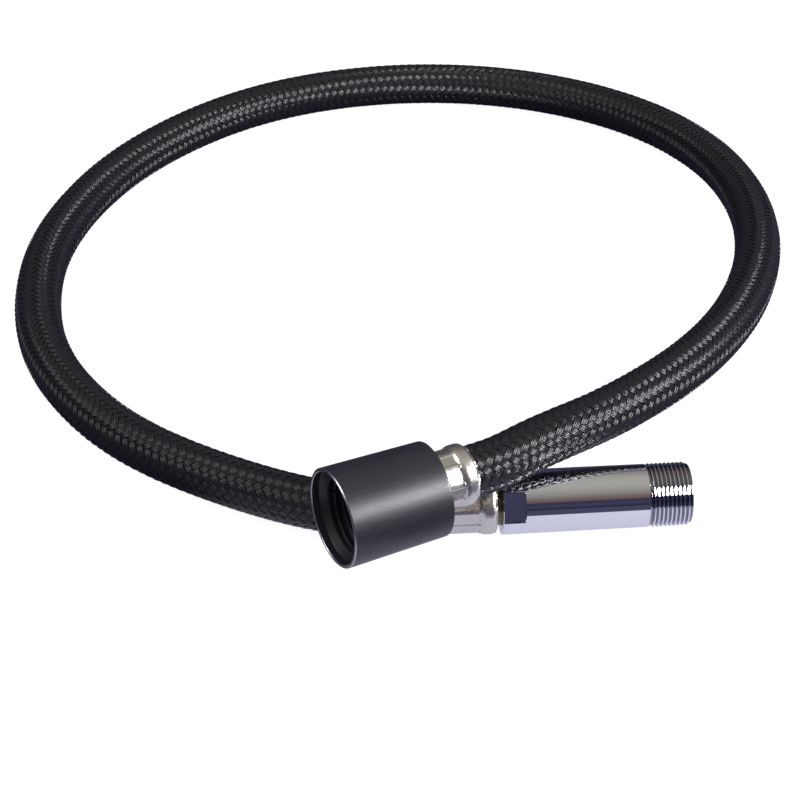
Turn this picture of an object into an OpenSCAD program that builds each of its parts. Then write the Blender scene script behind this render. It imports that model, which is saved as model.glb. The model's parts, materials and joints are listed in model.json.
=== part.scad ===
// Braided hose with a swivelling collar nut at its outlet and a swivelling male fitting at its inlet.
// Millimetres. +X runs along the inlet fitting, out of its threaded end; +Z is up; the hose lies on z = 0.

/* [Hose] */
// Outer diameter of the braid
hose_od = 12.5; // [12.2:0.1:12.7]
// Inner diameter of the water tube
tube_id = 7.5; // [7.2:0.1:8]
// Wall thickness of the braid
braid_wall = 0.75; // [0.55:0.05:0.9]

/* [Ferrules] */
// Length of each crimped ferrule
ferrule_length = 17.2; // [16.8:0.2:17.6]
// Diameter of the rounded rings at both ends of a ferrule
ferrule_od = 14.5; // [14.4:0.1:14.6]
// Number of flats that the crimping jaws leave
crimp_flats = 10; // [8:1:12]

/* [Collar] */
// Outer diameter at the open mouth
collar_mouth_od = 23.3; // [23.2:0.1:23.8]
// Outer diameter at the end where the hose enters
collar_tail_od = 22.4; // [22.2:0.1:23]
// Length of the collar
collar_length = 25; // [24.5:0.5:26]
// Core diameter of the internal thread
collar_thread_minor = 18.63; // [18.6:0.01:18.7]
// Outer diameter of the internal thread
collar_thread_major = 20.95; // [20.9:0.05:21]
// Pitch of the internal thread
collar_pitch = 1.814; // [1.8:0.002:1.82]

/* [Inlet fitting] */
// Outer diameter of the plain barrel at its rear end
barrel_od = 15; // [14.9:0.1:15]
// Outer diameter of the barrel beside the thread, a little less
barrel_front_od = 14.8; // [14.7:0.1:14.8]
// Length of the plain barrel
barrel_length = 34.6; // [34.4:0.2:35]
// Distance across the two wrench flats
flats_across = 13; // [12.8:0.1:13.4]
// Crest diameter of the male thread
inlet_thread_major = 14.96; // [14.9:0.01:14.97]
// Core diameter of the male thread
inlet_thread_minor = 13.77; // [13.7:0.01:13.8]
// Pitch of the male thread
inlet_pitch = 1; // [0.98:0.01:1]
// Length of the threaded end
inlet_thread_length = 10; // [9.9:0.1:10]

/* [Check valve] */
// Turns of the return spring
spring_turns = 5; // [4:1:6]

/* [Hidden] */
$fn = 64;

// Inlet axis: parallel to X at this Y, resting on the floor on its barrel.
inlet_y = 12.5;
inlet_z = barrel_od / 2;
// Visible gap between the inlet ferrule and the barrel, which shows the nipple's neck.
neck_gap = 1.2;
thread_end_x = barrel_length + inlet_thread_length;

// Outlet: the collar's axis is level and turned this far from X; w is the distance from the mouth.
outlet_turn = 22.5;
outlet_dir = [cos(outlet_turn), sin(outlet_turn), 0];
outlet_side = [-sin(outlet_turn), cos(outlet_turn), 0];
collar_mouth = [-40.3, -8.8, 20.75];
// The loose collar hangs below the nipple that it turns on.
hang_side = 0.65;
hang_down = 1;
nipple_mouth = collar_mouth + hang_side * outlet_side + [0, 0, hang_down];
hang = norm([hang_side, hang_down]);
outlet_ferrule_w = 17.1;

// Stations along the outlet nipple, as distances from the mouth.
flange_front = 9.5;
flange_back = 11.2;
lip_front = 12;
lip_back = 13.7;
seal_front = 7.8;
flange_r = 8;
neck_r = 4.7;
lip_r = neck_r + hang + 0.3;

// Hose walls, outside the ferrules and inside the crimp.
sleeve_r = hose_od / 2;
sleeve_in_r = sleeve_r - braid_wall;
tube_r = sleeve_in_r - 0.1;
tube_in_r = tube_id / 2;
crimp_sleeve_r = 5.65;
crimp_sleeve_in_r = 4.95;
crimp_tube_r = 4.85;
crimp_tube_in_r = 3.4;
// The hose is cut this far inside each ferrule's closed end.
cut_inset = 1;

// Ferrule: wall, rounded rings and the crimped waist between them.
ferrule_r = ferrule_od / 2;
ring_length = 3.8;
ring_in_r = 6.6;
waist_in_r = crimp_sleeve_r + 0.1;
waist_r = 6.45;

// Nipple tail.
tail_r = 3.1;
barb_r = 3.5;
bore_r = 2.4;
shoulder_r = 4.2;
collar_neck_r = 5.2;

// Inlet swivel: distances along X from the barrel's rear face.
spigot_r = 4.2;
swivel_bore_r = spigot_r + 0.05;
spigot_end = 12.5;
seal_stations = [4.2, 7.3];
seal_groove = 1.3;
seal_groove_r = 3.2;
seal_section_r = 0.48;
clip_station = 10.6;
clip_section_r = 0.38;

// Check-valve cartridge: distances along X.
pocket_r = 5.2;
pocket_start = 26.7;
cage_start = 27.7;
cage_end = 41;
cage_r = 5.1;
spider_front = 29;
seat_x = 37.7;
chamber_r = 4.1;
poppet_back = 35.5;
poppet_front = 37;
stem_r = 0.85;
stem_end = 27;

// Control points of the loop between the two straight ends, anticlockwise from the outlet. The hose
// leaves the outlet above the barrel and comes down to the floor in a long low hump.
loop_points = [[6.7, 12.8, 22.83], [14.6, 17.5, 23], [24.2, 23.8, 22.42], [35.8, 33.3, 21.67],
    [50, 47.5, 20.33], [64.2, 66.7, 18.58], [75.8, 90, 16.33], [84.2, 116.7, 13.83], [87.9, 145, 11.33],
    [85.8, 173.8, 9], [77.5, 198.3, 7.25], [64.2, 217.5, 6.33], [44.2, 232.5, 6.25], [20, 241.7, 6.25],
    [-5.8, 244.2, 6.25], [-31.7, 240, 6.25], [-55, 229.2, 6.25], [-75, 212.5, 6.25],
    [-91.7, 191.7, 6.25], [-103.3, 168.3, 6.25], [-110.8, 143.3, 6.25], [-112.5, 117.5, 6.25],
    [-110, 92.5, 6.25], [-101.7, 70, 6.25], [-90, 51.7, 6.25], [-77.5, 39.2, 6.25], [-64.2, 29.2, 6.25],
    [-51.7, 21.3, 6.25], [-40.4, 15.2, 6.67]];
// Straight control points, the same distance apart, carry the curve into each ferrule's axis.
outlet_bend_w = 34.6;
outlet_step = 8.3;
inlet_bend_x = -18.5;
inlet_step = 10.8;
route = concat(
    [for (i = [-1:1]) nipple_mouth + (outlet_bend_w + i * outlet_step) * outlet_dir],
    loop_points,
    [for (i = [-1:1]) [inlet_bend_x + i * inlet_step, inlet_y, inlet_z]]);

// A uniform cubic B-spline through the control points, at u from 0 to len(p) - 3.
function spline_at(p, u) =
    let (k = min(floor(u), len(p) - 4), t = u - k)
    (pow(1 - t, 3) * p[k] + (3 * pow(t, 3) - 6 * t * t + 4) * p[k + 1]
        + (-3 * pow(t, 3) + 3 * t * t + 3 * t + 1) * p[k + 2] + pow(t, 3) * p[k + 3]) / 6;

rings_per_span = 2;
spans = len(route) - 3;
loop_path = [for (i = [0:spans * rings_per_span]) spline_at(route, i / rings_per_span)];
// Stations inside a ferrule, from the cut end: squeezed in the waist, full size again at the ring.
squeezed = [cut_inset, ring_length + 0.5, ferrule_length - ring_length - 0.5];
relaxed = [ferrule_length - ring_length + 2];
outlet_path = [for (z = concat(squeezed, relaxed)) nipple_mouth + (outlet_ferrule_w + z) * outlet_dir];
inlet_path = [for (i = [3:-1:0])
    [-neck_gap - concat(squeezed, relaxed)[i], inlet_y, inlet_z]];
hose_path = concat(outlet_path, loop_path, inlet_path);
hose_rings = len(hose_path);
function squeezed_at(i) = i < len(squeezed) || i >= hose_rings - len(squeezed);

// Axis directions at ring i, with the second one always level.
function unit(v) = v / norm(v);
function heading(i) =
    unit(hose_path[min(i + 1, hose_rings - 1)] - hose_path[max(i - 1, 0)]);
function level_at(i) = unit(cross(heading(i), [0, 0, 1]));
function ring_points(i, r, sides) =
    let (side = level_at(i), up = cross(side, heading(i)))
    [for (k = [0:sides - 1]) hose_path[i] + r * (cos(360 * k / sides) * side + sin(360 * k / sides) * up)];

// A hollow hose wall along hose_path, with smaller radii where the ferrules squeeze it.
module hose_wall(r_out, r_in, squeezed_out, squeezed_in, sides = 12) {
    outer = [for (i = [0:hose_rings - 1]) each ring_points(i, squeezed_at(i) ? squeezed_out : r_out, sides)];
    inner = [for (i = [0:hose_rings - 1]) each ring_points(i, squeezed_at(i) ? squeezed_in : r_in, sides)];
    gap = len(outer);
    last = (hose_rings - 1) * sides;
    skins = [for (i = [0:hose_rings - 2], k = [0:sides - 1])
        let (a = i * sides + k, b = i * sides + (k + 1) % sides, c = b + sides, d = a + sides)
        each [[a, b, c], [a, c, d], [gap + a, gap + c, gap + b], [gap + a, gap + d, gap + c]]];
    ends = [for (k = [0:sides - 1])
        let (a = k, b = (k + 1) % sides, e = last + a, f = last + b)
        each [[a, gap + b, b], [a, gap + a, gap + b], [e, f, gap + f], [e, gap + f, gap + e]]];
    polyhedron(points = concat(outer, inner), faces = concat(skins, ends), convexity = 10);
}

// Placement: z runs from the collar's mouth towards the hose on either outlet axis.
module on_collar_axis(w = 0) {
    translate(collar_mouth + w * outlet_dir) rotate([0, 90, outlet_turn]) children();
}
module on_outlet_axis(w = 0) {
    translate(nipple_mouth + w * outlet_dir) rotate([0, 90, outlet_turn]) children();
}
// Placement: z runs along +X from the barrel's rear face.
module on_inlet_axis(x = 0) {
    translate([x, inlet_y, inlet_z]) rotate([0, 90, 0]) children();
}
// Placement: z runs into the hose from the inlet ferrule's closed end.
module into_inlet_hose() {
    translate([-neck_gap, inlet_y, inlet_z]) rotate([0, -90, 0]) children();
}

// A round washer or sleeve from z0 to z1.
module sleeve(z0, z1, r_out, r_in) {
    translate([0, 0, z0]) difference() {
        cylinder(h = z1 - z0, r = r_out);
        translate([0, 0, -1]) cylinder(h = z1 - z0 + 2, r = r_in);
    }
}
// An O-ring or wire ring centred on z, open by gap degrees.
module wire_ring(z, ring_r, section_r, gap = 0) {
    translate([0, 0, z]) rotate_extrude(angle = 360 - gap)
        translate([ring_r, 0]) circle(r = section_r, $fn = 24);
}
// A thin disc with rings of round holes.
module perforated_disc(z0, z1, r, hole_r) {
    translate([0, 0, z0]) difference() {
        cylinder(h = z1 - z0, r = r);
        for (ring = [0:3], k = [0:max(0, 6 * ring - 1)])
            rotate(ring == 0 ? 0 : 60 * k / ring) translate([ring * hole_r * 2.7, 0, -1])
                cylinder(h = 3, r = hole_r, $fn = 16);
    }
}

// One crimped ferrule: closed end at z = 0, open ring at z = ferrule_length.
module ferrule() {
    difference() {
        union() {
            rounded_ring(0);
            rounded_ring(ferrule_length - ring_length);
            translate([0, 0, ring_length / 2])
                cylinder(h = ferrule_length - ring_length, r = waist_r / cos(180 / crimp_flats),
                    $fn = crimp_flats);
        }
        translate([0, 0, -1]) cylinder(h = ferrule_length, r = shoulder_r + 0.05);
        translate([0, 0, 0.8]) cylinder(h = ring_length - 0.8, r = ring_in_r);
        translate([0, 0, ring_length]) cylinder(h = ferrule_length, r = waist_in_r);
        translate([0, 0, ferrule_length - ring_length]) cylinder(h = ring_length + 1, r = ring_in_r);
    }
}
// A ring of the ferrule's full diameter, with rounded shoulders.
module rounded_ring(z0) {
    round_r = 1.2;
    translate([0, 0, z0]) rotate_extrude() union() {
        square([ferrule_r - round_r, ring_length]);
        translate([0, round_r]) square([ferrule_r, ring_length - 2 * round_r]);
        for (y = [round_r, ring_length - round_r])
            translate([ferrule_r - round_r, y]) circle(r = round_r, $fn = 32);
    }
}

// The barbed tail that both nipples push into the hose, from z = 0 at the ferrule's closed end.
module barbed_tail() {
    barb_pitch = 3;
    first_barb = 4.2;
    barbs = 4;
    tail_end = 16.6;
    translate([0, 0, -0.5]) cylinder(h = cut_inset + 0.4, r = shoulder_r);
    cylinder(h = tail_end, r = tail_r);
    for (i = [0:barbs - 1])
        translate([0, 0, first_barb + i * barb_pitch]) cylinder(h = barb_pitch * 0.7, r1 = barb_r, r2 = tail_r);
    translate([0, 0, tail_end]) cylinder(h = 1, r1 = tail_r, r2 = tail_r - 0.5);
}

// --- Hose ---
module braid_sleeve() {
    color([0.07, 0.07, 0.08]) hose_wall(sleeve_r, sleeve_in_r, crimp_sleeve_r, crimp_sleeve_in_r);
}
module inner_tube() {
    color([0.85, 0.85, 0.8]) hose_wall(tube_r, tube_in_r, crimp_tube_r, crimp_tube_in_r);
}

// --- Outlet end ---
module outlet_ferrule() {
    color([0.75, 0.73, 0.7]) on_outlet_axis(outlet_ferrule_w) ferrule();
}
module outlet_nipple() {
    color([0.78, 0.66, 0.38]) on_outlet_axis(flange_front) difference() {
        union() {
            translate([0, 0, outlet_ferrule_w - flange_front]) barbed_tail();
            cylinder(h = outlet_ferrule_w - flange_front, r = neck_r);
            cylinder(h = flange_back - flange_front, r = flange_r);
        }
        translate([0, 0, -1]) cylinder(h = 40, r = bore_r);
        translate([0, 0, -1]) cylinder(h = 2, r = 3.85);
    }
}
module face_seal() {
    color([0.1, 0.1, 0.1]) on_outlet_axis() sleeve(seal_front, flange_front, 7.8, 5.1);
}
module filter_rim() {
    color([0.15, 0.15, 0.16]) on_outlet_axis() sleeve(8.3, flange_front, 5, 4.2);
}
module filter_screen() {
    color([0.7, 0.71, 0.72]) on_outlet_axis() perforated_disc(8.7, 8.95, 4.15, 0.42);
}
module slip_washer() {
    color([0.92, 0.92, 0.88]) on_outlet_axis() sleeve(flange_back + 0.1, lip_front - 0.1, 7.9, neck_r + 0.2);
}
module collar() {
    mouth_r = collar_mouth_od / 2;
    tail_end_r = collar_tail_od / 2;
    thread_start = 3.4;
    first_groove = 3.7;
    groove_half = 0.6;
    turns = 2;
    core_r = collar_thread_minor / 2;
    thread_depth = collar_thread_major / 2 - core_r;
    color([0.09, 0.09, 0.11]) on_collar_axis() difference() {
        union() {
            cylinder(h = 0.4, r1 = mouth_r - 0.25, r2 = mouth_r);
            translate([0, 0, 0.4]) cylinder(h = collar_length - 0.9, r1 = mouth_r, r2 = tail_end_r);
            translate([0, 0, collar_length - 0.5]) cylinder(h = 0.5, r1 = tail_end_r, r2 = tail_end_r - 0.5);
        }
        // Stepped mouth, with a cone that leads into the thread.
        translate([0, 0, -1]) cylinder(h = 3, r = 10.8);
        translate([0, 0, 2]) cylinder(h = thread_start - 2, r1 = 10.5, r2 = 9.9);
        // Thread, as grooves between round crests.
        cylinder(h = flange_front, r = core_r);
        for (i = [0:turns - 1]) translate([0, 0, first_groove + i * collar_pitch]) {
            cylinder(h = groove_half, r1 = core_r, r2 = core_r + thread_depth);
            translate([0, 0, groove_half]) cylinder(h = groove_half, r1 = core_r + thread_depth, r2 = core_r);
        }
        // Chamber for the flange, the hole in the lip and the skirt over the ferrule.
        translate([0, 0, seal_front]) cylinder(h = lip_front - seal_front, r = 10);
        translate([0, 0, lip_front - 1]) cylinder(h = lip_back - lip_front + 2, r = lip_r);
        translate([0, 0, lip_back]) cylinder(h = collar_length, r = ferrule_r + hang + 0.3);
    }
}

// --- Inlet end ---
module inlet_ferrule() {
    color([0.75, 0.73, 0.7]) into_inlet_hose() ferrule();
}
module inlet_nipple() {
    color([0.78, 0.66, 0.38]) difference() {
        union() {
            into_inlet_hose() barbed_tail();
            on_inlet_axis(-neck_gap) cylinder(h = neck_gap + 0.65, r = collar_neck_r);
            on_inlet_axis() cylinder(h = spigot_end, r = spigot_r);
        }
        on_inlet_axis(-40) cylinder(h = 80, r = bore_r);
        for (x = seal_stations) on_inlet_axis()
            sleeve(x - seal_groove / 2, x + seal_groove / 2, spigot_r + 2, seal_groove_r);
        on_inlet_axis() sleeve(clip_station - 0.5, clip_station + 0.5, spigot_r + 2, spigot_r - 0.5);
    }
}
module swivel_washer() {
    color([0.93, 0.93, 0.9]) on_inlet_axis() sleeve(0.7, 1.3, 5.3, spigot_r + 0.1);
}
module swivel_seal(x) {
    color([0.1, 0.1, 0.1]) on_inlet_axis() wire_ring(x, seal_groove_r + seal_section_r + 0.03, seal_section_r);
}
module front_swivel_seal() {
    swivel_seal(seal_stations[1]);
}
module rear_swivel_seal() {
    swivel_seal(seal_stations[0]);
}
module swivel_clip() {
    color([0.7, 0.7, 0.72]) on_inlet_axis() wire_ring(clip_station, spigot_r + 0.02, clip_section_r, gap = 40);
}
module inlet_body() {
    barrel_r = barrel_od / 2;
    front_r = barrel_front_od / 2;
    chamfer = 0.35;
    flat_start = 0.2;
    flat_length = 5.2;
    flat_tilt = 67;
    crest = 0.3;
    turns = floor((inlet_thread_length - 0.8) / inlet_pitch);
    first_crest = inlet_thread_length - 0.6 - turns * inlet_pitch;
    core_r = inlet_thread_minor / 2;
    crest_r = inlet_thread_major / 2;
    flank = (inlet_pitch - 2 * crest) / 2;
    color([0.85, 0.87, 0.9]) on_inlet_axis() difference() {
        union() {
            cylinder(h = chamfer, r1 = barrel_r - chamfer, r2 = barrel_r);
            translate([0, 0, chamfer]) cylinder(h = barrel_length - 2 * chamfer, r1 = barrel_r, r2 = front_r);
            translate([0, 0, barrel_length - chamfer]) cylinder(h = chamfer, r1 = front_r, r2 = front_r - chamfer);
            translate([0, 0, barrel_length - 1]) cylinder(h = inlet_thread_length + 1, r = core_r);
            for (i = [0:turns - 1]) translate([0, 0, barrel_length + first_crest + i * inlet_pitch]) {
                cylinder(h = flank, r1 = core_r, r2 = crest_r);
                translate([0, 0, flank]) cylinder(h = crest, r = crest_r);
                translate([0, 0, flank + crest]) cylinder(h = flank, r1 = crest_r, r2 = core_r);
            }
        }
        // Two opposite wrench flats at the swivel end.
        rotate(flat_tilt) for (side = [0, 180]) rotate(side)
            translate([flats_across / 2, -barrel_r, flat_start]) cube([barrel_r, 2 * barrel_r, flat_length]);
        // Swivel bore, water way and valve pocket.
        translate([0, 0, -1]) cylinder(h = 2.4, r = collar_neck_r + 0.3);
        cylinder(h = spigot_end + 1, r = swivel_bore_r);
        translate([0, 0, clip_station - 0.55]) cylinder(h = 1.1, r = spigot_r + 0.6);
        cylinder(h = thread_end_x, r = 3);
        translate([0, 0, pocket_start]) cylinder(h = thread_end_x, r = pocket_r);
        translate([0, 0, cage_end + 0.1]) cylinder(h = 1.1, r = pocket_r + 0.5);
    }
}

// --- Check valve and strainer, inside the inlet fitting ---
module valve_cage() {
    groove = 1.4;
    groove_x = 39.3;
    color([0.9, 0.9, 0.92]) on_inlet_axis() difference() {
        translate([0, 0, cage_start]) cylinder(h = cage_end - cage_start, r = cage_r);
        translate([0, 0, spider_front]) cylinder(h = seat_x - spider_front, r = chamber_r);
        translate([0, 0, seat_x - 1]) cylinder(h = 10, r = 2.8);
        translate([0, 0, cage_start - 1]) cylinder(h = 4, r = stem_r + 0.05);
        for (k = [0:2]) rotate(120 * k) translate([2.5, 0, cage_start - 1]) cylinder(h = 4, r = 1.25);
        sleeve(groove_x - groove / 2, groove_x + groove / 2, cage_r + 2, 4);
    }
}
module cage_seal() {
    color([0.1, 0.1, 0.1]) on_inlet_axis() wire_ring(39.3, 4.6, 0.55);
}
module cage_clip() {
    color([0.7, 0.7, 0.72]) on_inlet_axis() wire_ring(cage_end + 0.65, 5.2, 0.38, gap = 50);
}
module valve_spring() {
    wire_r = 0.25;
    coil_r = 1.85;
    steps = 16;
    sides = 6;
    rise = poppet_back - spider_front - 2 * wire_r;
    count = spring_turns * steps;
    points = [for (i = [0:count], k = [0:sides - 1])
        let (turn = 360 * i / steps, a = 360 * k / sides, r = coil_r + wire_r * cos(a))
        [r * cos(turn), r * sin(turn), wire_r + rise * i / count + wire_r * sin(a)]];
    skins = [for (i = [0:count - 1], k = [0:sides - 1])
        let (a = i * sides + k, b = i * sides + (k + 1) % sides)
        each [[a, b + sides, b], [a, a + sides, b + sides]]];
    caps = [for (k = [1:sides - 2])
        each [[0, k, k + 1], [count * sides, count * sides + k + 1, count * sides + k]]];
    color([0.72, 0.73, 0.75]) on_inlet_axis(spider_front)
        polyhedron(points = points, faces = concat(skins, caps), convexity = 10);
}
module valve_poppet() {
    color([0.88, 0.88, 0.9]) on_inlet_axis() {
        translate([0, 0, stem_end]) cylinder(h = poppet_front - stem_end, r = stem_r);
        translate([0, 0, poppet_back]) cylinder(h = poppet_front - poppet_back, r = 3.4);
        translate([0, 0, poppet_back]) cylinder(h = 3, r = 1.35);
    }
}
module poppet_seal() {
    color([0.1, 0.1, 0.1]) on_inlet_axis() sleeve(poppet_front, seat_x - 0.05, 3.25, 1.35);
}
module strainer_rim() {
    color([0.15, 0.15, 0.16]) on_inlet_axis() sleeve(42.4, 44, 5.1, 4.2);
}
module strainer_screen() {
    color([0.7, 0.71, 0.72]) on_inlet_axis() perforated_disc(43, 43.3, 4.15, 0.42);
}

braid_sleeve();
inner_tube();
outlet_ferrule();
outlet_nipple();
face_seal();
filter_rim();
filter_screen();
slip_washer();
collar();
inlet_ferrule();
inlet_nipple();
swivel_washer();
front_swivel_seal();
rear_swivel_seal();
swivel_clip();
inlet_body();
valve_cage();
cage_seal();
cage_clip();
valve_spring();
valve_poppet();
poppet_seal();
strainer_rim();
strainer_screen();
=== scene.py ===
"""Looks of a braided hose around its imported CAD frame.

The woven braid, the crimped ferrules, the satin collar and the chromed fitting are built here as
meshes, and so is the check valve's spring. Everything is in metres in the CAD's own frame: +X along
the inlet fitting, out of its threaded end, +Z up, and the hose lies on z = 0.
"""
import json
import math

import bmesh
import bpy
import numpy as np
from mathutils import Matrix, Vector


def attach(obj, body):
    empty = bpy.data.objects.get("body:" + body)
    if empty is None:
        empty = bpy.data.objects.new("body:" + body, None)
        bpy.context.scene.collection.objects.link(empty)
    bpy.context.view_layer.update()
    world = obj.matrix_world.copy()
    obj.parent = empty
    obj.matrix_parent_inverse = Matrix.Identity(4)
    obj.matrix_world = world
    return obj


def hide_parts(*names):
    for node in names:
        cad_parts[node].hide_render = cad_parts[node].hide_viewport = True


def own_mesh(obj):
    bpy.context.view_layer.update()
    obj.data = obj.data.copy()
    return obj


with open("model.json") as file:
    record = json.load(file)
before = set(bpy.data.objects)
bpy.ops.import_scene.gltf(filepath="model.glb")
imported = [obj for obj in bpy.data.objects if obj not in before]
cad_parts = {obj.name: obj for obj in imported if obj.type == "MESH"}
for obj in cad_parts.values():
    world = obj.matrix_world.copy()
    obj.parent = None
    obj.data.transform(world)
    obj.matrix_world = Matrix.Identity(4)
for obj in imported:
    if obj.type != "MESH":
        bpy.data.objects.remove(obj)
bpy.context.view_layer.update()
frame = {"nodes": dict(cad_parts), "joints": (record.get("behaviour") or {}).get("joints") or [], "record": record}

MM = 0.001
SCENE = bpy.context.scene
JOINTS = {joint["name"]: joint for joint in frame["joints"]}


# --- Camera ---

CAMERA_TARGET = Vector((-19.7, 61.15, 6.25)) * MM
CAMERA_DISTANCE = 0.5817
CAMERA_ELEVATION = math.radians(33)
CAMERA_AZIMUTH = math.radians(4.9)


def make_camera():
    level = math.cos(CAMERA_ELEVATION)
    view = Vector((math.sin(CAMERA_AZIMUTH) * level, math.cos(CAMERA_AZIMUTH) * level,
                   -math.sin(CAMERA_ELEVATION)))
    data = bpy.data.cameras.new("camera")
    data.lens = 104.8
    data.sensor_width = 36
    data.clip_start = 0.02
    camera = bpy.data.objects.new("camera", data)
    SCENE.collection.objects.link(camera)
    camera.location = CAMERA_TARGET - CAMERA_DISTANCE * view
    camera.rotation_euler = view.to_track_quat("-Z", "Y").to_euler()
    SCENE.camera = camera


make_camera()


# --- The hose's route, the same as the CAD's ---

OUTLET_DIR = -np.array(JOINTS["collar_spin"]["axis"])
OUTLET_SIDE = np.array([-OUTLET_DIR[1], OUTLET_DIR[0], 0])
UP = np.array([0, 0, 1])
COLLAR_MOUTH = np.array(JOINTS["collar_spin"]["pos_m"])
# The loose collar hangs below the nipple that it turns on.
NIPPLE_MOUTH = COLLAR_MOUTH + 0.65 * MM * OUTLET_SIDE + 1 * MM * UP
INLET_ORIGIN = np.array(JOINTS["inlet_swivel"]["pos_m"])
INLET_DIR = np.array([1, 0, 0])

# Ferrules: distance of the outlet one from the mouth, gap behind the barrel, length.
OUTLET_FERRULE_W = 17.1 * MM
NECK_GAP = 1.2 * MM
FERRULE_LENGTH = 17.2 * MM
CUT_INSET = 1 * MM

LOOP_POINTS = MM * np.array([
    (6.7, 12.8, 22.83), (14.6, 17.5, 23), (24.2, 23.8, 22.42), (35.8, 33.3, 21.67), (50, 47.5, 20.33),
    (64.2, 66.7, 18.58), (75.8, 90, 16.33), (84.2, 116.7, 13.83), (87.9, 145, 11.33), (85.8, 173.8, 9),
    (77.5, 198.3, 7.25), (64.2, 217.5, 6.33), (44.2, 232.5, 6.25), (20, 241.7, 6.25),
    (-5.8, 244.2, 6.25), (-31.7, 240, 6.25), (-55, 229.2, 6.25), (-75, 212.5, 6.25),
    (-91.7, 191.7, 6.25), (-103.3, 168.3, 6.25), (-110.8, 143.3, 6.25), (-112.5, 117.5, 6.25),
    (-110, 92.5, 6.25), (-101.7, 70, 6.25), (-90, 51.7, 6.25), (-77.5, 39.2, 6.25), (-64.2, 29.2, 6.25),
    (-51.7, 21.3, 6.25), (-40.4, 15.2, 6.67)])
OUTLET_BEND_W = 34.6 * MM
OUTLET_STEP = 8.3 * MM
INLET_BEND_X = -18.5 * MM
INLET_STEP = 10.8 * MM


def spline(points, per_span):
    """A uniform cubic B-spline through the control points."""
    t = np.linspace(0, 1, per_span, endpoint=False)[:, None]
    shares = ((1 - t) ** 3, 3 * t ** 3 - 6 * t ** 2 + 4, -3 * t ** 3 + 3 * t ** 2 + 3 * t + 1, t ** 3)
    spans = [sum(share * p for share, p in zip(shares, points[k:k + 4])) / 6
             for k in range(len(points) - 3)]
    return np.concatenate(spans)


def hose_route():
    """Points down the middle of the hose, from its cut end in the outlet ferrule to the other one."""
    before = [NIPPLE_MOUTH + (OUTLET_BEND_W + i * OUTLET_STEP) * OUTLET_DIR for i in (-1, 0, 1)]
    after = [INLET_ORIGIN + (INLET_BEND_X + i * INLET_STEP) * INLET_DIR for i in (-1, 0, 1)]
    bent = spline(np.array([*before, *LOOP_POINTS, *after]), 24)
    first = NIPPLE_MOUTH + (OUTLET_FERRULE_W + CUT_INSET) * OUTLET_DIR
    last = INLET_ORIGIN - (NECK_GAP + CUT_INSET) * INLET_DIR
    return np.array([first, *bent, INLET_ORIGIN + INLET_BEND_X * INLET_DIR, last])


def resampled(points, step):
    along = np.concatenate([[0], np.cumsum(np.linalg.norm(np.diff(points, axis=0), axis=1))])
    at = np.linspace(0, along[-1], round(along[-1] / step) + 1)
    return np.stack([np.interp(at, along, points[:, k]) for k in range(3)], axis=1), at


HOSE_LINE, HOSE_AT = resampled(hose_route(), 1 * MM)
HOSE_LENGTH = HOSE_AT[-1]


def unit(v):
    return v / np.linalg.norm(v, axis=-1, keepdims=True)


HEADING = unit(np.gradient(HOSE_LINE, axis=0))
LEVEL = unit(np.cross(HEADING, UP))
ABOVE = np.cross(LEVEL, HEADING)

# How far from each cut end the crimp squeezes the hose, and where it is back at full size.
SQUEEZE_END = 11.9 * MM
RELAXED = 14.4 * MM
SQUEEZED_SHARE = 0.9


def hose_points(s, angle, radius):
    """Points at s along the hose, at an angle round it and a radius, thinner in the crimps."""
    s = np.clip(s, 0, HOSE_LENGTH)
    middle, level, above = (np.stack([np.interp(s, HOSE_AT, table[:, k]) for k in range(3)], axis=-1)
                            for table in (HOSE_LINE, LEVEL, ABOVE))
    t = np.clip((np.minimum(s, HOSE_LENGTH - s) - SQUEEZE_END) / (RELAXED - SQUEEZE_END), 0, 1)
    radius = radius * (SQUEEZED_SHARE + (1 - SQUEEZED_SHARE) * t * t * (3 - 2 * t))
    return middle + radius[..., None] * (np.cos(angle)[..., None] * level
                                         + np.sin(angle)[..., None] * above)


# --- Meshes ---

def mesh_object(name, points, faces):
    mesh = bpy.data.meshes.new(name)
    mesh.from_pydata(points.tolist(), [], faces.tolist())
    piece = bpy.data.objects.new(name, mesh)
    SCENE.collection.objects.link(piece)
    return piece


def strip_faces(rows, columns, start, closed):
    """Quads between neighbouring rows of points, numbered from start."""
    i, j = np.meshgrid(np.arange(rows - 1), np.arange(columns if closed else columns - 1), indexing="ij")
    after = (j + 1) % columns
    quads = np.stack([i * columns + j, i * columns + after, (i + 1) * columns + after,
                      (i + 1) * columns + j], axis=-1)
    return start + quads.reshape(-1, 4)


def smooth(piece, sharp_angle=30):
    piece.data.shade_smooth()
    piece.data.set_sharp_from_angle(angle=math.radians(sharp_angle))


def turned(name, z, r, angles, origin, direction, side):
    """A closed body of turning: row i of z and r goes round the axis, at each of angles."""
    across = np.cross(direction, side)
    shape = (len(z), len(angles))
    z, r = np.broadcast_to(z, shape), np.broadcast_to(r, shape)
    points = (origin + z[..., None] * direction
              + r[..., None] * (np.cos(angles)[:, None] * side + np.sin(angles)[:, None] * across))
    faces = strip_faces(len(z) + 1, len(angles), 0, True) % (len(z) * len(angles))
    piece = mesh_object(name, points.reshape(-1, 3), faces)
    edit = bmesh.new()
    edit.from_mesh(piece.data)
    bmesh.ops.remove_doubles(edit, verts=edit.verts, dist=1e-7)
    bmesh.ops.dissolve_degenerate(edit, edges=edit.edges, dist=1e-7)
    edit.to_mesh(piece.data)
    edit.free()
    smooth(piece)
    return piece


# --- Braid ---

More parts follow.
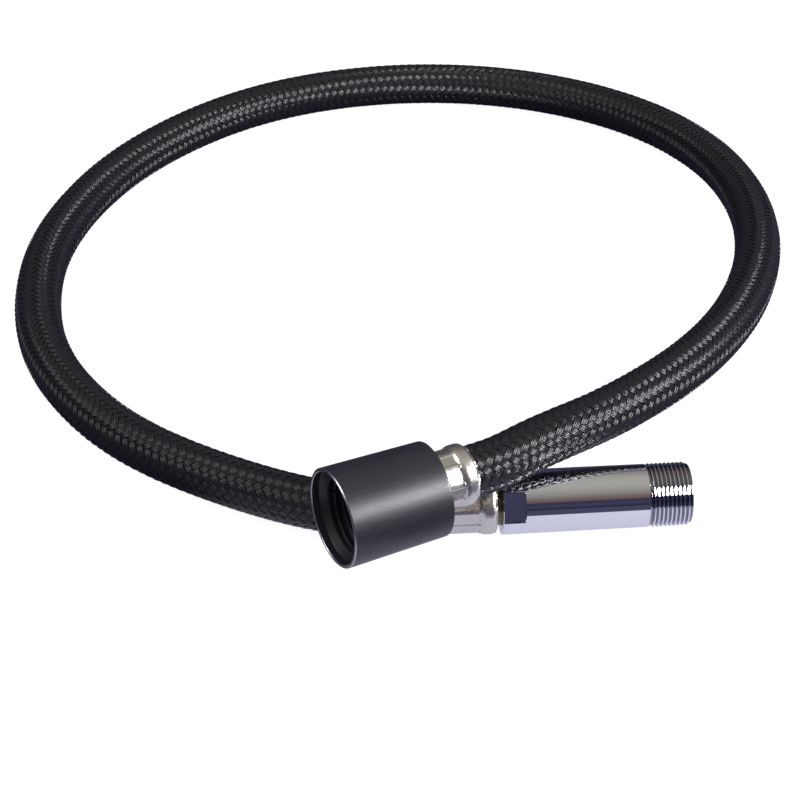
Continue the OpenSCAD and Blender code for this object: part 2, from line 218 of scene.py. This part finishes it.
CARRIERS = 16  # in each direction
LAY = 38.8 * MM  # length in which a carrier goes once round the hose
CROSSING = LAY / (2 * CARRIERS)
BRAID_R = 6.0 * MM  # middle of the weave
WEAVE = 0.24 * MM  # how far a band rises and dives
BAND_WIDTH = 1.56 * MM
BAND_CROWN = 0.12 * MM
FILAMENTS = 4
CORE_R = 5.68 * MM


def wander(count, reach, seed):
    """A smooth random value along a band, between -1 and 1 at most."""
    rng = np.random.default_rng(seed)
    knots = rng.uniform(-1, 1, count // reach + 2)
    return np.interp(np.arange(count) / reach, np.arange(len(knots)), knots)


def band(index, turn):
    """Points and UVs of one band of filaments, going round the hose one way (turn 1) or the other."""
    stations = int(HOSE_LENGTH / CROSSING * 2) + 1
    s = np.arange(stations) * CROSSING / 2
    column = 2 * index + turn * np.arange(stations) / 2
    angle = math.pi * column / CARRIERS
    # Two over, two under: the bands of one direction are on top in every other column.
    wave = np.cos(math.pi / 2 * (column - 0.5))
    seed = 2 * index + (turn > 0)
    rise = turn * WEAVE * wave / np.sqrt(wave * wave + 0.3) + 0.025 * MM * wander(stations, 5, seed)
    shift = 0.05 * MM * wander(stations, 9, seed + 100)
    across = BAND_WIDTH * np.array([-0.5, 0, 0.5])
    drop = BAND_CROWN * np.array([-1, 0, -1])
    w = shift[:, None] + across[None, :]
    radius = BRAID_R + rise[:, None] + drop[None, :]
    lean = math.sqrt(0.5)
    points = hose_points(s[:, None] - turn * lean * w, angle[:, None] + lean * w / BRAID_R, radius)
    u = (across / BAND_WIDTH + 0.5) * FILAMENTS + (FILAMENTS + 2) * seed
    v = np.arange(stations) * CROSSING / 2 / lean / MM
    uv = np.stack(np.broadcast_arrays(u[None, :], v[:, None]), axis=-1)
    return points, uv


def make_braid():
    """The whole woven sleeve: a dark core tube and the bands of both directions round it."""
    core_sides = 20
    rings = np.arange(0, HOSE_LENGTH, 3.4 * MM)
    rings = np.append(rings, HOSE_LENGTH)
    angles = -np.arange(core_sides) * 2 * math.pi / core_sides
    core = hose_points(rings[:, None], angles[None, :], np.full((1, core_sides), CORE_R))
    points = [core.reshape(-1, 3)]
    uvs = [np.zeros((core.size // 3, 2))]
    faces = [strip_faces(len(rings), core_sides, 0, True)]
    count = len(points[0])
    core_faces = len(faces[0])
    for turn in (1, -1):
        for index in range(CARRIERS):
            band_points, band_uv = band(index, turn)
            rows, columns = band_points.shape[:2]
            points.append(band_points.reshape(-1, 3))
            uvs.append(band_uv.reshape(-1, 2))
            faces.append(strip_faces(rows, columns, count, False)[:, ::-1])
            count += rows * columns
    faces = np.concatenate(faces)
    piece = mesh_object("woven_sleeve", np.concatenate(points), faces)
    layer = piece.data.uv_layers.new(name="filaments")
    layer.data.foreach_set("uv", np.concatenate(uvs)[faces.ravel()].astype(np.float32).ravel())
    piece.data.materials.append(braid_material())
    piece.data.materials.append(core_material())
    slots = np.zeros(len(faces), np.int32)
    slots[:core_faces] = 1
    piece.data.polygons.foreach_set("material_index", slots)
    piece.data.shade_smooth()
    return piece


# --- Materials ---

def shader(name, colour, roughness, metallic=0.0, **sockets):
    """A new material and its nodes, with the same value all over the surface for now."""
    material = bpy.data.materials.new(name)
    material.use_nodes = True
    nodes = material.node_tree.nodes
    surface = nodes["Principled BSDF"]
    surface.inputs["Base Color"].default_value = (*colour, 1)
    surface.inputs["Roughness"].default_value = roughness
    surface.inputs["Metallic"].default_value = metallic
    for socket, value in sockets.items():
        surface.inputs[socket.replace("_", " ")].default_value = value
    return material, nodes, material.node_tree.links, surface


def math_node(nodes, links, operation, first, second=0.0):
    node = nodes.new("ShaderNodeMath")
    node.operation = operation
    for socket, value in zip(node.inputs, (first, second)):
        if isinstance(value, (int, float)):
            socket.default_value = value
        else:
            links.new(value, socket)
    return node.outputs[0]


def noise(nodes, links, scale, detail=3.0, vector=None, stretch=None):
    """Noise from 0 to 1 in the object's own coordinates, or along a given vector."""
    if vector is None:
        vector = nodes.new("ShaderNodeTexCoord").outputs["Object"]
    if stretch is not None:
        mapping = nodes.new("ShaderNodeMapping")
        mapping.inputs["Scale"].default_value = stretch
        links.new(vector, mapping.inputs["Vector"])
        vector = mapping.outputs["Vector"]
    node = nodes.new("ShaderNodeTexNoise")
    node.inputs["Scale"].default_value = scale
    node.inputs["Detail"].default_value = detail
    links.new(vector, node.inputs["Vector"])
    return node.outputs["Fac"]


def ramp_value(nodes, links, value, start, end):
    """0 where value is at start, 1 where it is at end."""
    node = nodes.new("ShaderNodeMapRange")
    node.inputs["From Min"].default_value = start
    node.inputs["From Max"].default_value = end
    links.new(value, node.inputs["Value"])
    return node.outputs["Result"]


def between(nodes, links, value, low, high):
    """value, from about 0.3 to 0.7 as noise gives, spread between low and high."""
    node = nodes.new("ShaderNodeMapRange")
    node.inputs["From Min"].default_value = 0.3
    node.inputs["From Max"].default_value = 0.7
    node.inputs["To Min"].default_value = low
    node.inputs["To Max"].default_value = high
    links.new(value, node.inputs["Value"])
    return node.outputs["Result"]


def mixed_colour(nodes, links, value, dark, light):
    node = nodes.new("ShaderNodeMix")
    node.data_type = "RGBA"
    for socket in node.inputs:
        if socket.name == "A" and socket.type == "RGBA":
            socket.default_value = (*dark, 1)
        if socket.name == "B" and socket.type == "RGBA":
            socket.default_value = (*light, 1)
    links.new(value, node.inputs["Factor"])
    return next(o for o in node.outputs if o.type == "RGBA")


def bump(nodes, links, height, strength, distance, surface):
    node = nodes.new("ShaderNodeBump")
    node.inputs["Strength"].default_value = strength
    node.inputs["Distance"].default_value = distance
    links.new(height, node.inputs["Height"])
    links.new(node.outputs["Normal"], surface.inputs["Normal"])


def braid_material():
    """Black nylon filaments side by side in each band, each a thin glossy cylinder."""
    material, nodes, links, surface = shader("braid", (0.008, 0.008, 0.01), 0.25, IOR=1.45)
    uv = nodes.new("ShaderNodeUVMap")
    uv.uv_map = "filaments"
    parts = nodes.new("ShaderNodeSeparateXYZ")
    links.new(uv.outputs["UV"], parts.inputs["Vector"])
    drift = noise(nodes, links, 1.0, 1.0, uv.outputs["UV"], (0.7, 0.25, 1))
    u = math_node(nodes, links, "ADD", parts.outputs["X"], math_node(nodes, links, "MULTIPLY", drift, 0.3))
    offset = math_node(nodes, links, "SUBTRACT", math_node(nodes, links, "FRACT", u), 0.5)
    tilt = math_node(nodes, links, "MULTIPLY", offset, 1.5)
    squared = math_node(nodes, links, "MULTIPLY", tilt, tilt)
    rest = math_node(nodes, links, "SQRT", math_node(nodes, links, "SUBTRACT", 1.0, squared))
    colour = nodes.new("ShaderNodeCombineXYZ")
    colour.inputs["Y"].default_value = 0.5
    for socket, value in (("X", tilt), ("Z", rest)):
        half = math_node(nodes, links, "MULTIPLY", value, 0.5)
        links.new(math_node(nodes, links, "ADD", half, 0.5), colour.inputs[socket])
    normal = nodes.new("ShaderNodeNormalMap")
    normal.uv_map = "filaments"
    links.new(colour.outputs["Vector"], normal.inputs["Color"])
    links.new(normal.outputs["Normal"], surface.inputs["Normal"])
    # Each filament has its own shade and gloss, which change slowly along it.
    single = noise(nodes, links, 1.0, 2.0, uv.outputs["UV"], (3.1, 0.3, 1))
    links.new(mixed_colour(nodes, links, single, (0.002, 0.002, 0.0025), (0.011, 0.011, 0.013)),
              surface.inputs["Base Color"])
    links.new(between(nodes, links, single, 0.18, 0.34), surface.inputs["Roughness"])
    return material


def core_material():
    material, nodes, links, surface = shader("braid_core", (0.004, 0.004, 0.005), 0.7)
    fine = noise(nodes, links, 900)
    links.new(mixed_colour(nodes, links, fine, (0.002, 0.002, 0.002), (0.008, 0.008, 0.009)),
              surface.inputs["Base Color"])
    return material


def metal_material(name, dark, light, rough, smoother, grain, bumpiness=0.05):
    """Plated metal with slightly uneven gloss and fine marks."""
    material, nodes, links, surface = shader(name, light, rough, 1.0)
    cloud = noise(nodes, links, 120, 4.0)
    links.new(mixed_colour(nodes, links, cloud, dark, light), surface.inputs["Base Color"])
    marks = noise(nodes, links, grain, 5.0)
    links.new(between(nodes, links, marks, smoother, rough), surface.inputs["Roughness"])
    bump(nodes, links, marks, bumpiness, 0.017 * MM, surface)
    return material


BARREL_LENGTH = 34.6  # the thread starts here


def chrome_material():
    """Mirror chrome, with a painted shade in the grooves of the thread: the base colour darkens towards the roots.
    """
    material, nodes, links, surface = shader("chrome", (0.86, 0.87, 0.91), 0.05, 1.0)
    parts = nodes.new("ShaderNodeSeparateXYZ")
    links.new(nodes.new("ShaderNodeTexCoord").outputs["Object"], parts.inputs["Vector"])
    offsets = [math_node(nodes, links, "SUBTRACT", parts.outputs[axis], float(INLET_ORIGIN[k]))
               for k, axis in ((1, "Y"), (2, "Z"))]
    squares = [math_node(nodes, links, "MULTIPLY", offset, offset) for offset in offsets]
    radius = math_node(nodes, links, "SQRT", math_node(nodes, links, "ADD", *squares))
    # Painted shade: past the barrel, the base colour goes from light chrome at the crests to dark grey at the
    # roots.
    crest = ramp_value(nodes, links, radius, 6.95 * MM, 7.35 * MM)
    barrel = math_node(nodes, links, "LESS_THAN", parts.outputs["X"], BARREL_LENGTH * MM)
    outside_root_shade = math_node(nodes, links, "MAXIMUM", crest, barrel)
    links.new(mixed_colour(nodes, links, outside_root_shade, (0.30, 0.30, 0.35), (0.86, 0.87, 0.91)),
              surface.inputs["Base Color"])
    marks = noise(nodes, links, 900, 5.0)
    links.new(between(nodes, links, marks, 0.025, 0.07), surface.inputs["Roughness"])
    bump(nodes, links, marks, 0.01, 0.017 * MM, surface)
    return material


def collar_material():
    """Satin black, blasted before it was coated, so the gloss breaks into a fine grain."""
    material, nodes, links, surface = shader("satin_black", (0.008, 0.008, 0.011), 0.4, IOR=1.5)
    grain = noise(nodes, links, 2200, 2.0)
    cloud = noise(nodes, links, 90, 3.0)
    links.new(mixed_colour(nodes, links, cloud, (0.005, 0.005, 0.007), (0.011, 0.011, 0.015)),
              surface.inputs["Base Color"])
    links.new(between(nodes, links, grain, 0.34, 0.46), surface.inputs["Roughness"])
    bump(nodes, links, grain, 0.35, 0.03 * MM, surface)
    return material


def plain_material(name, dark, light, roughness, scale, bumpiness):
    """Rubber or moulded plastic, with a faint cloud in its colour and a fine skin."""
    material, nodes, links, surface = shader(name, light, roughness)
    cloud = noise(nodes, links, scale)
    links.new(mixed_colour(nodes, links, cloud, dark, light), surface.inputs["Base Color"])
    links.new(between(nodes, links, cloud, roughness * 0.85, roughness * 1.15), surface.inputs["Roughness"])
    bump(nodes, links, noise(nodes, links, scale * 8), bumpiness, 0.05 * MM, surface)
    return material


MATERIALS = {
    "ferrule": metal_material("nickel", (0.58, 0.55, 0.50), (0.78, 0.75, 0.69), 0.36, 0.24, 1500),
    "chrome": chrome_material(),
    # Brass much darker than brass is, a painted shade for the dark gap at the neck.
    "insert": metal_material("shade_darkened_brass", (0.12, 0.10, 0.06), (0.24, 0.20, 0.13), 0.4, 0.28, 1200),
    "wire": metal_material("steel_wire", (0.45, 0.46, 0.47), (0.66, 0.67, 0.68), 0.35, 0.2, 2000),
    "collar": collar_material(),
    # A lighter metal, a painted highlight on the rim of the collar's mouth.
    "edge": metal_material("painted_rim_highlight", (0.22, 0.22, 0.24), (0.50, 0.50, 0.54), 0.38, 0.25, 1500),
    "seal": plain_material("rubber", (0.012, 0.012, 0.012), (0.03, 0.03, 0.03), 0.6, 300, 0.3),
    "nylon": plain_material("nylon", (0.74, 0.74, 0.70), (0.84, 0.84, 0.81), 0.4, 200, 0.1),
    "tube": plain_material("water_tube", (0.66, 0.65, 0.60), (0.76, 0.75, 0.70), 0.5, 150, 0.1),
}


def dress_cad_nodes():
    """Gives every CAD node that stays in view the material of its slot."""
    slots = {row["node"]: row["material_slot"] for row in frame["record"]["subparts"]}
    for name, node in frame["nodes"].items():
        material = MATERIALS.get(slots[name])
        if material is not None:
            node.data.materials.clear()
            node.data.materials.append(material)


# --- Ferrules ---

FERRULE_R = 7.25 * MM
RING_LENGTH = 3.8 * MM
RING_ROUND = 1.3 * MM
WAIST_R = 6.45 * MM
FLATS = 10
RIB_HALF_WIDTH = 0.75 * MM  # the jaws leave a raised rib between two flats
RIB_HEIGHT = 0.2 * MM


def ring_radius(z):
    """Outline of the two full rings, which fall away to the waist between them."""
    end = np.minimum(z, FERRULE_LENGTH - z)
    near = np.clip(end / RING_ROUND, 0, 1)
    shoulder = np.clip((end - (RING_LENGTH - RING_ROUND)) / (1.8 * MM), 0, 1)
    lip = RING_ROUND * (1 - np.sqrt(1 - (1 - near) ** 2))
    return FERRULE_R - lip - 1.4 * MM * (1 - np.sqrt(np.maximum(1 - shoulder ** 2, 0)))


def make_ferrule(name, origin, direction, side):
    """A crimped shell: ten flats pressed between two full rings, with a raised rib between flats."""
    half_rows = np.concatenate([np.linspace(0, 1.3, 9), np.linspace(1.5, 6.7, 32), [7.6]]) * MM
    rows = np.concatenate([half_rows, FERRULE_LENGTH - half_rows[::-1]])
    per_flat = 24
    angles = np.arange(FLATS * per_flat) * 2 * math.pi / (FLATS * per_flat)
    from_middle = (angles + math.pi / FLATS) % (2 * math.pi / FLATS) - math.pi / FLATS
    from_rib = (math.pi / FLATS - np.abs(from_middle)) * WAIST_R
    rib = np.clip((RIB_HALF_WIDTH - from_rib) / (0.2 * MM), 0, 1)
    flat = WAIST_R / np.cos(from_middle) + RIB_HEIGHT * rib * rib * (3 - 2 * rib)
    outer = np.maximum(ring_radius(rows)[:, None], flat[None, :])
    outer = np.minimum(outer, np.maximum(ring_radius(rows), WAIST_R - 0.2 * MM)[:, None] + 0.5 * MM)
    ends = np.array([FERRULE_LENGTH - 0.05 * MM, FERRULE_LENGTH - 1.2 * MM, 0.8 * MM, 0.8 * MM, 0])
    walls = np.array([6.36, 6.34, 6.34, 4.25, 4.25]) * MM
    z = np.concatenate([rows, ends])[:, None]
    r = np.concatenate([outer, np.repeat(walls[:, None], len(angles), axis=1)])
    piece = turned(name, z, r, angles, origin, direction, side)
    piece.data.materials.append(MATERIALS["ferrule"])
    return piece


# --- Threads ---

THREAD_STEPS = 10  # points along one pitch


def thread_rows(start, end, pitch, core_r, crest_r, angles, fade_in, fade_out):
    """Rows of a right-handed helical thread from start to end, as z and r at each angle."""
    turn = angles / (2 * math.pi)
    steps = np.arange(-THREAD_STEPS, round((end - start) / pitch * THREAD_STEPS) + 1)
    z = start + pitch * (steps[:, None] / THREAD_STEPS + turn[None, :])
    phase = (steps[:, None] / THREAD_STEPS * 2 * math.pi) + 0 * turn[None, :]
    # A rounded crest and root.
    depth = 0.5 - 0.5 * np.clip(1.08 * np.cos(phase), -1, 1)
    depth = depth * np.clip((z - start) / fade_in, 0, 1) * np.clip((end - z) / fade_out, 0.05, 1)
    return np.clip(z, start, end), core_r + (crest_r - core_r) * depth


def full_rows(pairs, angles):
    """Plain rows of a body of turning, from a list of (z, r) in millimetres."""
    pairs = np.array(pairs) * MM
    return [np.repeat(pairs[:, k:k + 1], len(angles), axis=1) for k in (0, 1)]


def joined_rows(*blocks):
    return [np.concatenate([block[k] for block in blocks]) for k in (0, 1)]


# --- Inlet fitting ---

BARREL_R = 7.5
FRONT_R = 7.4  # the barrel narrows a little towards the thread
THREAD_END = 44.6
THREAD_PITCH = 1
THREAD_CORE_R = 6.886
THREAD_CREST_R = 7.48
FLAT_R = 6.5
FLAT_ANGLE = math.radians(157)


def make_inlet_fitting():
    """The chromed barrel with its two wrench flats, and the pipe thread on its end."""
    half = math.acos(FLAT_R / BARREL_R)
    corners = [FLAT_ANGLE + k * math.pi + sign * half for k in (0, 1) for sign in (-1, 1)]
    angles = np.unique(np.concatenate([np.arange(160) * 2 * math.pi / 160, np.mod(corners, 2 * math.pi)]))
    rear = full_rows([(1.4, 4.3), (1.4, 5.5), (0.1, 5.5), (0, 5.6), (0, 7.3), (0.06, 7.43),
                      (0.18, BARREL_R)], angles)
    flat_z, flat_r = full_rows([(0.24, BARREL_R), (0.5, BARREL_R), (5.2, BARREL_R)], angles)
    off = np.abs((angles - FLAT_ANGLE + math.pi / 2) % math.pi - math.pi / 2)
    limit = np.where(off < half, FLAT_R * MM / np.cos(off), np.inf)
    flat_r = np.minimum(flat_r, limit[None, :])
    front = full_rows([(5.4, BARREL_R), (5.8, BARREL_R), (BARREL_LENGTH - 0.6, FRONT_R),
                       (BARREL_LENGTH - 0.2, FRONT_R), (BARREL_LENGTH, FRONT_R - 0.2),
                       (BARREL_LENGTH, THREAD_CORE_R)], angles)
    thread = thread_rows(BARREL_LENGTH * MM, (THREAD_END - 0.1) * MM, THREAD_PITCH * MM,
                         THREAD_CORE_R * MM, THREAD_CREST_R * MM, angles, 0.5 * MM, 0.8 * MM)
    inside = full_rows([(THREAD_END, 6.7), (THREAD_END, 5.35), (THREAD_END - 0.15, 5.2), (42.2, 5.2),
                        (42.2, 5.7), (41.1, 5.7), (41.1, 5.2), (26.7, 5.2), (26.7, 3), (13.5, 3),
                        (13.5, 4.3)], angles)
    z, r = joined_rows(rear, [flat_z, flat_r], front, thread, inside)
    piece = turned("chromed_fitting", z, r, angles, INLET_ORIGIN, INLET_DIR, np.array([0, 1, 0]))
    piece.data.materials.append(MATERIALS["chrome"])
    return piece


# --- Return spring of the check valve ---

SPRING_START = 29.0 * MM
SPRING_END = 35.5 * MM


def make_spring():
    """Five turns of wire between the cage's spider and the poppet."""
    wire_r, coil_r, turns, steps, sides = 0.25 * MM, 1.85 * MM, 5, 24, 8
    turn = np.linspace(0, 2 * math.pi * turns, turns * steps + 1)[:, None]
    round_wire = (-np.arange(sides) * 2 * math.pi / sides)[None, :]
    length = SPRING_END - SPRING_START - 2 * wire_r
    r = coil_r + wire_r * np.cos(round_wire)
    along = wire_r + length * turn / turn[-1] + wire_r * np.sin(round_wire)
    points = np.stack([SPRING_START + along, INLET_ORIGIN[1] + r * np.cos(turn),
                       INLET_ORIGIN[2] + r * np.sin(turn)], axis=-1)
    spring = mesh_object("return_spring", points.reshape(-1, 3), strip_faces(len(turn), sides, 0, True))
    edit = bmesh.new()
    edit.from_mesh(spring.data)
    bmesh.ops.holes_fill(edit, edges=edit.edges)
    bmesh.ops.recalc_face_normals(edit, faces=edit.faces)
    edit.to_mesh(spring.data)
    edit.free()
    smooth(spring, 60)
    spring.data.materials.append(MATERIALS["wire"])
    return spring


# --- Collar ---

COLLAR_PITCH = 1.814
COLLAR_CORE_R = 9.315
COLLAR_CREST_R = 10.4


def make_collar():
    """The loose collar nut: a slightly tapered sleeve with a stepped, threaded mouth."""
    angles = np.arange(192) * 2 * math.pi / 192
    outside = full_rows([(0, 10.95), (0, 11.43), (0.22, 11.65), (0.6, 11.64), (24.3, 11.21), (24.7, 11.2),
                         (24.87, 11.12), (24.97, 10.95), (25, 10.7), (25, 8.95), (24.88, 8.79), (24.6, 8.74),
                         (13.7, 8.74), (13.7, 6.19), (12, 6.19), (12, 10), (7.8, 10)], angles)
    thread = thread_rows(3.5 * MM, 7.7 * MM, COLLAR_PITCH * MM, COLLAR_CORE_R * MM, COLLAR_CREST_R * MM,
                         angles, 0.5 * MM, 0.5 * MM)
    thread = [rows[::-1] for rows in thread]
    mouth = full_rows([(3.4, 9.6), (3.4, 9.9), (2, 10.5), (2, 10.68), (1.88, 10.8), (0.15, 10.8)], angles)
    z, r = joined_rows(outside, thread, mouth)
    piece = turned("satin_collar", z, r, angles, COLLAR_MOUTH, OUTLET_DIR, OUTLET_SIDE)
    piece.data.materials.append(MATERIALS["collar"])
    piece.data.materials.append(MATERIALS["edge"])
    # The sharp edges of the mouth get a painted highlight: a lighter metal on the faces at the rim.
    for face in piece.data.polygons:
        from_mouth = np.array(face.center) - COLLAR_MOUTH
        depth = from_mouth @ OUTLET_DIR
        radius = np.linalg.norm(from_mouth - depth * OUTLET_DIR)
        if depth < 0.2 * MM and (radius > 11.45 * MM or 10.8 * MM < radius < 10.98 * MM):
            face.material_index = 1
    return piece


# --- Pieces on their bodies ---

def add(piece, body, node):
    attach(piece, body)
    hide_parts(node)


dress_cad_nodes()
braid = make_braid()
add(braid, "hose", "braid_sleeve")
add(make_ferrule("outlet_crimp", NIPPLE_MOUTH + OUTLET_FERRULE_W * OUTLET_DIR, OUTLET_DIR, OUTLET_SIDE),
    "hose", "outlet_ferrule")
add(make_ferrule("inlet_crimp", INLET_ORIGIN - NECK_GAP * INLET_DIR, -INLET_DIR, np.array([0, 1, 0])),
    "hose", "inlet_ferrule")
add(make_inlet_fitting(), "inlet_fitting", "inlet_body")
add(make_collar(), "collar", "collar")
spring = make_spring()
add(spring, "inlet_fitting", "valve_spring")
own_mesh(spring)


# --- Studio ---

FLAG_EDGE = -17 * MM  # shiny surfaces see the floor dark in front of this Y, beside the collar
FLAG_SIDE = -14 * MM  # and to the right of this X


def matt_and_glow(nodes, links, matt, glow):
    lit = nodes.new("ShaderNodeBsdfDiffuse")
    lit.inputs["Color"].default_value = (*matt, 1)
    even = nodes.new("ShaderNodeEmission")
    even.inputs["Color"].default_value = (*glow, 1)
    both = nodes.new("ShaderNodeAddShader")
    links.new(lit.outputs["BSDF"], both.inputs[0])
    links.new(even.outputs["Emission"], both.inputs[1])
    return both.outputs["Shader"]


def make_floor():
    """A white floor with hardly any shadow. Every ray but the camera's sees painted reflections in it instead: a
    pale patch below the metal ends only, dark elsewhere.
    """
    side = 6.0
    corners = np.array([(-side, -side, 0), (side, -side, 0), (side, side, 0), (-side, side, 0)])
    floor = mesh_object("floor", corners, np.array([[0, 1, 2, 3]]))
    material = bpy.data.materials.new("floor")
    material.use_nodes = True
    nodes, links = material.node_tree.nodes, material.node_tree.links
    nodes.remove(nodes["Principled BSDF"])
    white = matt_and_glow(nodes, links, (0.12, 0.12, 0.12), (0.93, 0.93, 0.93))
    # Painted reflections: what shiny surfaces see in the floor, pale below the metal ends and dark elsewhere.
    pale_painted_reflection = matt_and_glow(nodes, links, (0.1, 0.1, 0.12), (0.45, 0.45, 0.55))
    dark = matt_and_glow(nodes, links, (0.01, 0.01, 0.015), (0.035, 0.037, 0.075))
    place = nodes.new("ShaderNodeTexCoord").outputs["Object"]
    parts = nodes.new("ShaderNodeSeparateXYZ")
    links.new(place, parts.inputs["Vector"])
    oval = nodes.new("ShaderNodeMapping")
    oval.inputs["Scale"].default_value = (1 / 0.075, 1 / 0.055, 0)
    oval.inputs["Location"].default_value = (0.13, 0.2, 0)
    links.new(place, oval.inputs["Vector"])
    distance = nodes.new("ShaderNodeVectorMath")
    distance.operation = "LENGTH"
    links.new(oval.outputs["Vector"], distance.inputs[0])
    near = ramp_value(nodes, links, distance.outputs["Value"], 1.15, 0.85)
    ahead = ramp_value(nodes, links, parts.outputs["Y"], FLAG_EDGE, FLAG_EDGE - 2.5 * MM)
    beside = ramp_value(nodes, links, parts.outputs["X"], FLAG_SIDE, FLAG_SIDE + 5 * MM)
    dark_painted_patch = math_node(nodes, links, "MULTIPLY", ahead, beside)
    share = math_node(nodes, links, "MULTIPLY", near, math_node(nodes, links, "SUBTRACT", 1.0, dark_painted_patch))
    reflected = nodes.new("ShaderNodeMixShader")
    links.new(share, reflected.inputs["Fac"])
    links.new(dark, reflected.inputs[1])
    links.new(pale_painted_reflection, reflected.inputs[2])
    seen = nodes.new("ShaderNodeMixShader")
    links.new(nodes.new("ShaderNodeLightPath").outputs["Is Camera Ray"], seen.inputs["Fac"])
    links.new(reflected.outputs["Shader"], seen.inputs[1])
    links.new(white, seen.inputs[2])
    links.new(seen.outputs["Shader"], nodes["Material Output"].inputs["Surface"])
    floor.data.materials.append(material)


def make_world():
    """An even white room, in which shiny surfaces see a dark horizon below a grey ceiling."""
    world = bpy.data.worlds.new("studio")
    world.use_nodes = True
    SCENE.world = world
    nodes, links = world.node_tree.nodes, world.node_tree.links
    even = nodes["Background"]
    even.inputs["Color"].default_value = (1, 1, 1, 1)
    even.inputs["Strength"].default_value = 1.15
    seen = nodes.new("ShaderNodeBackground")
    way = nodes.new("ShaderNodeSeparateXYZ")
    links.new(nodes.new("ShaderNodeTexCoord").outputs["Generated"], way.inputs["Vector"])
    height = ramp_value(nodes, links, way.outputs["Z"], 0, 1)
    ramp = nodes.new("ShaderNodeValToRGB")
    stops = [(0.0, (0.02, 0.02, 0.035)), (0.2, (0.05, 0.05, 0.1)), (0.41, (0.035, 0.036, 0.075)),
             (0.45, (0.13, 0.085, 0.085)), (0.62, (0.2, 0.15, 0.14)), (0.72, (0.24, 0.23, 0.215)),
             (1.0, (0.42, 0.41, 0.37))]
    elements = ramp.color_ramp.elements
    while len(elements) < len(stops):
        elements.new(0.5)
    for element, (place, colour) in zip(elements, stops):
        element.position = place
        element.color = (*colour, 1)
    links.new(height, ramp.inputs["Fac"])
    links.new(ramp.outputs["Color"], seen.inputs["Color"])
    mix = nodes.new("ShaderNodeMixShader")
    links.new(nodes.new("ShaderNodeLightPath").outputs["Is Glossy Ray"], mix.inputs["Fac"])
    links.new(even.outputs["Background"], mix.inputs[1])
    links.new(seen.outputs["Background"], mix.inputs[2])
    links.new(mix.outputs["Shader"], nodes["World Output"].inputs["Surface"])


def add_softbox(name, azimuth, elevation, distance, width, height, power):
    """A light that faces the middle of the object. Azimuth is from -Y towards +X."""
    data = bpy.data.lights.new(name, "AREA")
    data.shape = "RECTANGLE"
    data.size = width
    data.size_y = height
    data.energy = power
    data.color = (0.95, 0.95, 1.0)
    light = bpy.data.objects.new(name, data)
    SCENE.collection.objects.link(light)
    azimuth, elevation = math.radians(azimuth), math.radians(elevation)
    way = Vector((math.sin(azimuth) * math.cos(elevation), -math.cos(azimuth) * math.cos(elevation),
                  math.sin(elevation)))
    middle = Vector((0, 0.08, 0))
    light.location = middle + distance * way
    light.rotation_euler = way.to_track_quat("Z", "Y").to_euler()


make_floor()
make_world()
add_softbox("right_softbox", 64, 27, 1.0, 0.5, 0.3, 24)
add_softbox("left_softbox", -85, 38, 1.0, 0.45, 0.45, 4)
SCENE.view_settings.view_transform = "Standard"
